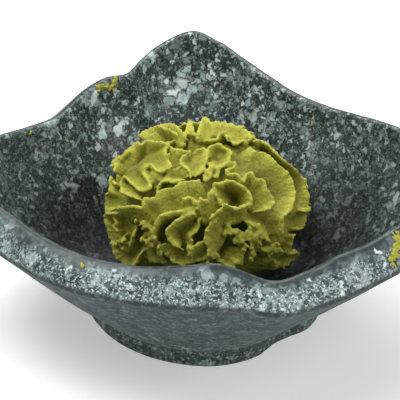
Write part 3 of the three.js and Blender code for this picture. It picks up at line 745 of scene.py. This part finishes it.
def fold(shape, number, reach, root, edge):
    """Adds one fold: up one side, round the rim of its free edge and down the other side."""
    roots, edges = ([clear_of_dish(on_mound(*(*point, own)[:3])) for point in points]
                    for points, own in ((root, reach[0]), (edge, reach[1])))
    rim_thickness = reach[2] if len(reach) > 2 else EDGE_THICKNESS
    length = sum((b - a).length for a, b in zip(edges, edges[1:]))
    columns = max(LEAST_COLUMNS, round(length / COLUMN_WIDTH))
    shift = Vector((number * FOLD_SHIFT[0], number * FOLD_SHIFT[1], 0))
    low, high = TEAR_HEIGHTS
    middle = []
    for column in range(columns + 1):
        valley, rim = along(roots, column / columns), along(edges, column / columns)
        sunk = MOUND_CENTRE.lerp(valley, SUNK_SHARE)
        tear = mix(*TEAR_DEPTH, clamped((rim.z - low) / (high - low)))
        out = (rim - valley).normalized()
        waver = sum(noise.noise(rim * finer + shift) for finer in TEAR_FINENESS)
        rim = rim + out * tear * waver
        rim = rim + noise.noise_vector(rim * RIM_DRIFT_FINENESS + shift) * RIM_DRIFT
        rims.append(rim)
        line = []
        for row in range(FOLD_ROWS + 1):
            v = row / FOLD_ROWS
            place = sunk * ((1 - v) * (1 - 2 * v)) + valley * (4 * v * (1 - v)) + rim * (v * (2 * v - 1))
            line.append(place.lerp(MOUND_CENTRE, FACE_HOLLOW * max(0, math.sin(math.pi * (2 * v - 1)))))
        middle.append(line)
    for column in range(columns + 1):
        way = middle[min(column + 1, columns)][-1] - middle[max(column - 1, 0)][-1]
        rim_ways.append(way.normalized())

    def corner(column, row):
        turn = clamped((row - FOLD_ROWS) / TIP_ROWS) * math.pi
        step = min(row, FOLD_ROWS, 2 * FOLD_ROWS + TIP_ROWS - row)
        line = middle[column]
        lengthwise = middle[min(column + 1, columns)][step] - middle[max(column - 1, 0)][step]
        outwards = (line[min(step + 1, FOLD_ROWS)] - line[max(step - 1, 0)]).normalized()
        side = lengthwise.cross(outwards).normalized()
        v = step / FOLD_ROWS
        thick = mix(ROOT_THICKNESS, rim_thickness, v) * min(1, v * ROOT_SWELL)
        thick *= 1 + THICKNESS_DRIFT * noise.noise(line[step] * THICKNESS_FINENESS + shift)
        thick *= math.sqrt(min(1, min(column, columns - column) * COLUMN_WIDTH / END_TAPER))
        return line[step] + side * thick / 2 * math.cos(turn) + outwards * thick / 2 * math.sin(turn)

    sheet(shape, columns, 2 * FOLD_ROWS + TIP_ROWS, corner)


def shreds(scatter):
    """Short ragged folds round the torn places and over the back, each at its own slant."""
    folds = []
    for azimuth, elevation, spread, count, size in SHREDS:
        for _ in range(count):
            middle = azimuth + scatter.gauss(0, spread / 2), elevation + scatter.gauss(0, spread / 2)
            slant = scatter.uniform(-math.pi / 2, math.pi / 2)
            length = size * scatter.uniform(*SHRED_SCATTER)
            edge = []
            for k in range(SHRED_POINTS):
                along_it = length * (k / (SHRED_POINTS - 1) - 0.5)
                aside = length * scatter.uniform(*SHRED_WAVE) * (k % 2 * 2 - 1)
                edge.append((middle[0] + along_it * math.cos(slant) - aside * math.sin(slant),
                             middle[1] + along_it * math.sin(slant) + aside * math.cos(slant)))
            root = [(a, e - length * SHRED_DROP) for a, e in edge[::2]]
            folds.append((SHRED_REACH, root, edge))
    return folds


def share_of_mound(place):
    """How far out a place is, where 1 is the mound's outer size."""
    return Vector((a / b for a, b in zip(place - MOUND_CENTRE, MOUND_HALF))).length


def join(whole, part):
    """Moves a small shape into the whole, which keeps each step on the small one quick."""
    mesh = bpy.data.meshes.new("part")
    part.to_mesh(mesh)
    part.free()
    whole.from_mesh(mesh)
    bpy.data.meshes.remove(mesh)


CRUMB_SEED = 11
crumbs = random.Random(CRUMB_SEED)
mound_shape = bmesh.new()
for number, (reach, root, edge) in enumerate(FRONT_FOLDS + hidden_folds() + shreds(crumbs)):
    part = bmesh.new()
    fold(part, number, reach, root, edge)
    join(mound_shape, part)
rim_finder = kdtree.KDTree(len(rims))
for index, rim in enumerate(rims):
    rim_finder.insert(rim, index)
rim_finder.balance()

# The lump in the middle rises into soft banks beside the folds' edges, less at the back, and stays low in the
# deep gaps.
FILL_REACH = 0.93
FILL_SPREAD = 3
FILL_DROP = 0.075
BACK_DROP = 0.4
GAP_REACH = 0.95
GAP_FLOOR = 0.6
gaps = [(on_mound(azimuth, elevation, GAP_REACH), radius) for azimuth, elevation, radius in DEEP_GAPS]
lump = bmesh.new()
bmesh.ops.create_icosphere(lump, subdivisions=7, radius=1)
for corner in lump.verts:
    sink = CORE_SINK if corner.co.z < 0 else 1
    spoke = corner.co * MOUND_HALF * Vector((1, 1, sink))
    outer = MOUND_CENTRE + spoke * FILL_REACH
    rim, _, distance = rim_finder.find(outer)
    bank = math.exp(-(distance / FILL_SPREAD)**2) * (1 - BACK_DROP * clamped(corner.co.y * 2))
    for gap, radius in gaps:
        bank *= clamped((outer - gap).length / radius - GAP_FLOOR)
    corner.co = MOUND_CENTRE + spoke * mix(CORE_REACH, share_of_mound(rim) - FILL_DROP, bank)
    corner.co.z = max(corner.co.z, inside_height(corner.co.x, corner.co.y) + REST_GAP)
join(mound_shape, lump)

# Crumbs: half their length in mm, their other two sizes as shares of it, and how far they lie off a torn rim.
TORN_CRUMB = (0.4, 0.85)
LOOSE_CRUMB = (0.5, 1.1)
CRUMB_WIDTH = (0.4, 0.9)
CRUMB_HEIGHT = (0.3, 0.6)
OFF_RIM = (-0.4, 0.4)


def scattered(spread):
    """A small step in any direction, about half the spread in mm."""
    return Vector(crumbs.gauss(0, spread / 2) for _ in range(3))


def crumb(shape, spot, size):
    """Adds one crumb, longer one way than the others and turned at random."""
    turn = Euler(crumbs.uniform(0, math.tau) for _ in range(3))
    spread = Vector((size, size * crumbs.uniform(*CRUMB_WIDTH), size * crumbs.uniform(*CRUMB_HEIGHT)))
    bmesh.ops.create_icosphere(shape, subdivisions=2, radius=1,
                               matrix=Matrix.LocRotScale(spot, turn, spread))


bits = bmesh.new()
for azimuth, elevation, reach, radius in PADS:
    bmesh.ops.create_icosphere(bits, subdivisions=4, radius=radius,
                               matrix=Matrix.Translation(on_mound(azimuth, elevation, reach)))
for azimuth, elevation, spread, count in TORN_PLACES:
    for _ in range(count):
        rim = rim_finder.find(on_mound(azimuth, elevation, 1) + scattered(spread))[0]
        rim = rim + Vector(crumbs.uniform(*OFF_RIM) for _ in range(3))
        if rim.z > inside_height(rim.x, rim.y) + FOLD_CLEARANCE:
            crumb(bits, rim, crumbs.uniform(*TORN_CRUMB))
for azimuth, elevation, reach, spread, count in LOOSE_LUMPS:
    for _ in range(count):
        spot = on_mound(azimuth, elevation, reach) + scattered(spread)
        crumb(bits, spot, crumbs.uniform(*LOOSE_CRUMB))
join(mound_shape, bits)
bmesh.ops.recalc_face_normals(mound_shape, faces=mound_shape.faces)


def remade(shape, kind, settings):
    """The bmesh with one modifier applied, as a new bmesh."""
    mesh = bpy.data.meshes.new("rough")
    shape.to_mesh(mesh)
    shape.free()
    rough = bpy.data.objects.new("rough", mesh)
    bpy.context.scene.collection.objects.link(rough)
    modifier = rough.modifiers.new("remake", kind)
    for key, value in settings.items():
        setattr(modifier, key, value)
    result = bpy.data.meshes.new_from_object(rough.evaluated_get(bpy.context.evaluated_depsgraph_get()))
    bpy.data.objects.remove(rough)
    bpy.data.meshes.remove(mesh)
    shape = bmesh.new()
    shape.from_mesh(result)
    bpy.data.meshes.remove(result)
    return shape


# Fuses everything into one skin. A softened copy of it tells the hollows from the ridges, for the painted
# shade in the hollows and painted light on the ridges.
SKIN_VOXEL = 0.25
SOFT_ROUNDS = 14
mound_shape = remade(mound_shape, "REMESH", {"mode": "VOXEL", "voxel_size": SKIN_VOXEL})
mound_shape.normal_update()
softened = mound_shape.copy()
for _ in range(SOFT_ROUNDS):
    bmesh.ops.smooth_vert(softened, verts=softened.verts, factor=1, use_axis_x=True, use_axis_y=True,
                          use_axis_z=True)
softened.verts.ensure_lookup_table()

# Roughens the skin with the grain of the grated root, and with the streaks that the nozzle's teeth leave
# across each fold from its rim down.
HOLLOW_DEPTH = 0.45
GRAIN_DEPTH = 0.08
GRAIN_FINENESS = (0.6, 1.3, 2.2)
STREAK_DEPTH = 0.2
STREAK_REACH = 3.5
BROAD_STREAKS = 0.9
FINE_STREAKS = 1.9
FINE_SHARE = 0.8
SKIN_KEPT = 0.38
hollow = mound_shape.verts.layers.float.new("hollow")
from_rim = mound_shape.verts.layers.float.new("from_rim")
streak = mound_shape.verts.layers.float.new("streak")
for corner in mound_shape.verts:
    filled = (softened.verts[corner.index].co - corner.co).dot(corner.normal)
    corner[hollow] = 0.5 + filled / HOLLOW_DEPTH / 2
    rim, index, distance = rim_finder.find(corner.co)
    corner[from_rim] = distance
    run = index * COLUMN_WIDTH + (corner.co - rim).dot(rim_ways[index])
    corner[streak] = (noise.noise((run * BROAD_STREAKS, 0, 0))
                      + noise.noise((run * FINE_STREAKS, 9, 0)) * FINE_SHARE)
softened.free()
for corner in mound_shape.verts:
    grain = sum(noise.noise(corner.co * finer) for finer in GRAIN_FINENESS)
    ridge = corner[streak] * STREAK_DEPTH * math.exp(-corner[from_rim] / STREAK_REACH)
    corner.co += corner.normal * (grain * GRAIN_DEPTH + ridge)
mound_shape = remade(mound_shape, "DECIMATE", {"ratio": SKIN_KEPT})

# The paste's colours: painted light on the rims and ridges, painted shade down the faces into the valleys, in
# the streaks' grooves, deep in the mound and in the hollows, painted light over the lower part, and the
# grains' own tones.
PAINTED_RIM_LIGHT = (0.53, 0.525, 0.082)
FACE_PASTE = (0.395, 0.382, 0.047)
PAINTED_VALLEY_SHADE = (0.23, 0.222, 0.04)
PAINTED_STREAK_SHADE = (0.15, 0.14, 0.012)
PAINTED_DEEP_SHADE = (0.12, 0.114, 0.02)
PAINTED_HOLLOW_SHADE = (0.13, 0.122, 0.018)
PAINTED_RIDGE_LIGHT = (0.56, 0.55, 0.092)
PALE_GRAIN = (0.5, 0.5, 0.1)
DARK_GRAIN = (0.12, 0.112, 0.01)
PAINTED_LOW_LIGHT = (0.54, 0.53, 0.11)
# Where they change: mm from the rim, the mesh's own streaks and hollows, shares of the mound's size, mm up.
RIM_TO_FACE = (0.2, 1.9)
FACE_TO_VALLEY = (1.2, 4.5)
STREAK_DARKENS = (0.1, -0.6)
OUTER_TO_DEEP = (0.96, 0.76)
HOLLOW_DARKENS = (0.5, 0.95)
RIDGE_LIGHTENS = (0.5, 0)
PAINTED_LOW_LIGHT_ZONE = (28, 16)

wasabi = Finish("wasabi", {"Subsurface Weight": 0.08, "Subsurface Radius": (1, 0.8, 0.2),
                           "Subsurface Scale": 0.001, "Specular IOR Level": 0.2})
from_centre = wasabi.vector("SUBTRACT", wasabi.place, tuple(MOUND_CENTRE))
spoke = wasabi.vector("DIVIDE", from_centre, tuple(MOUND_HALF))
out_share = wasabi.node("ShaderNodeVectorMath", {"operation": "LENGTH"}, {0: spoke}, "Value")
hollow_share = wasabi.kept("hollow")
rim_distance = wasabi.kept("from_rim")
# The lower part of the mound, where the painted shade is eased and painted light is laid over it.
low = wasabi.eased(wasabi.along("Z"), *PAINTED_LOW_LIGHT_ZONE)
# Painted light: the rims are paler than the faces.
look = wasabi.blend(wasabi.eased(rim_distance, *RIM_TO_FACE), PAINTED_RIM_LIGHT, FACE_PASTE)
# Painted shade down the faces into the valleys, less on the lower part.
look = wasabi.blend(wasabi.eased(rim_distance, *FACE_TO_VALLEY) * (0.65 - low * 0.25), look, PAINTED_VALLEY_SHADE)
# Painted shade in the grooves of the streaks.
look = wasabi.blend(wasabi.eased(wasabi.kept("streak"), *STREAK_DARKENS) * 0.35, look, PAINTED_STREAK_SHADE)
# Painted shade deeper in the mound, less on the lower part.
look = wasabi.blend(wasabi.eased(out_share, *OUTER_TO_DEEP) * (0.7 - low * 0.2), look, PAINTED_DEEP_SHADE)
# Painted shade in the hollows.
look = wasabi.blend(wasabi.eased(hollow_share, *HOLLOW_DARKENS) * 0.55, look, PAINTED_HOLLOW_SHADE)
# Painted light on the ridges.
look = wasabi.blend(wasabi.eased(hollow_share, *RIDGE_LIGHTENS) * 0.6, look, PAINTED_RIDGE_LIGHT)
look = wasabi.blend(wasabi.eased(wasabi.noise(0.6, 2), 0.55, 0.75) * 0.3, look, PALE_GRAIN)
look = wasabi.blend(wasabi.eased(wasabi.noise(0.5, 2), 0.45, 0.3) * 0.35, look, DARK_GRAIN)
# Painted light over the lower part of the mound.
look = wasabi.blend(low * 0.35, look, PAINTED_LOW_LIGHT)
wasabi.feed(wasabi.shader.inputs["Base Color"], look)
wasabi.feed(wasabi.shader.inputs["Roughness"], wasabi.noise(1.5) * 0.3 + 0.45)
wasabi.bump(wasabi.noise(0.6, 4), 1, 0.35)

mound = made("paste_mound", mound_shape, wasabi)
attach(mound, "root")
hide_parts("wasabi_paste")


# ---- Smears on the rim ----
# Where a spoon was wiped on the dish: thin ragged smears of the same paste, pressed on to the stone in crumbs
# and fused. Each runs between two places on the dish's skin.
SMEAR_SEED = 5
SMEAR_VOXEL = 0.14
SMEAR_CRUMB = (0.18, 0.42)
SMEAR_UNEVEN = 0.1
SMEAR_FINENESS = 2
SMEARS = [
    # azimuth and distance from the crest (less than 0 inside) of both ends, spread in mm, number of crumbs
    ((-143.5, -1.2), (-149.4, -2.8), 0.4, 44), ((-149.2, -2.6), (-151.6, -0.4), 0.35, 24),
    ((48.9, 5.6), (51.6, 4.4), 0.7, 40), ((51.2, 4.2), (55.5, 1.7), 0.8, 60),
    ((-111.9, -1.8), (-111.2, -2.2), 0.2, 4), ((-33.4, 2.2), (-31.2, 2.2), 0.35, 6),
]


def on_dish(azimuth, from_crest):
    """Place on the dish's skin, that far along its section from the crest."""
    outside, inner = dish_section(azimuth)
    path = [outside[-1]] + inner if from_crest < 0 else outside[::-1]
    left = abs(from_crest)
    for a, b in zip(path, path[1:]):
        step = math.dist(a, b)
        if left <= step:
            break
        left -= step
    radius, height = mix(a[0], b[0], left / step), mix(a[1], b[1], left / step)
    turn = math.radians(azimuth)
    return Vector((radius * math.sin(turn), -radius * math.cos(turn), height))


dabs = random.Random(SMEAR_SEED)
smear_shape = bmesh.new()
for first, last, spread, count in SMEARS:
    for _ in range(count):
        t = dabs.random()
        spot = on_dish(mix(first[0], last[0], t), mix(first[1], last[1], t) + dabs.gauss(0, spread))
        bmesh.ops.create_icosphere(smear_shape, subdivisions=2, radius=dabs.uniform(*SMEAR_CRUMB),
                                   matrix=Matrix.Translation(spot))
smear_shape = remade(smear_shape, "REMESH", {"mode": "VOXEL", "voxel_size": SMEAR_VOXEL})
hollow = smear_shape.verts.layers.float.new("hollow")
from_rim = smear_shape.verts.layers.float.new("from_rim")
for corner in smear_shape.verts:
    corner.co += noise.noise_vector(corner.co * SMEAR_FINENESS) * SMEAR_UNEVEN
    corner[hollow] = 0.5
    corner[from_rim] = 1
smears = made("paste_smears", smear_shape, wasabi)
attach(smears, "root")
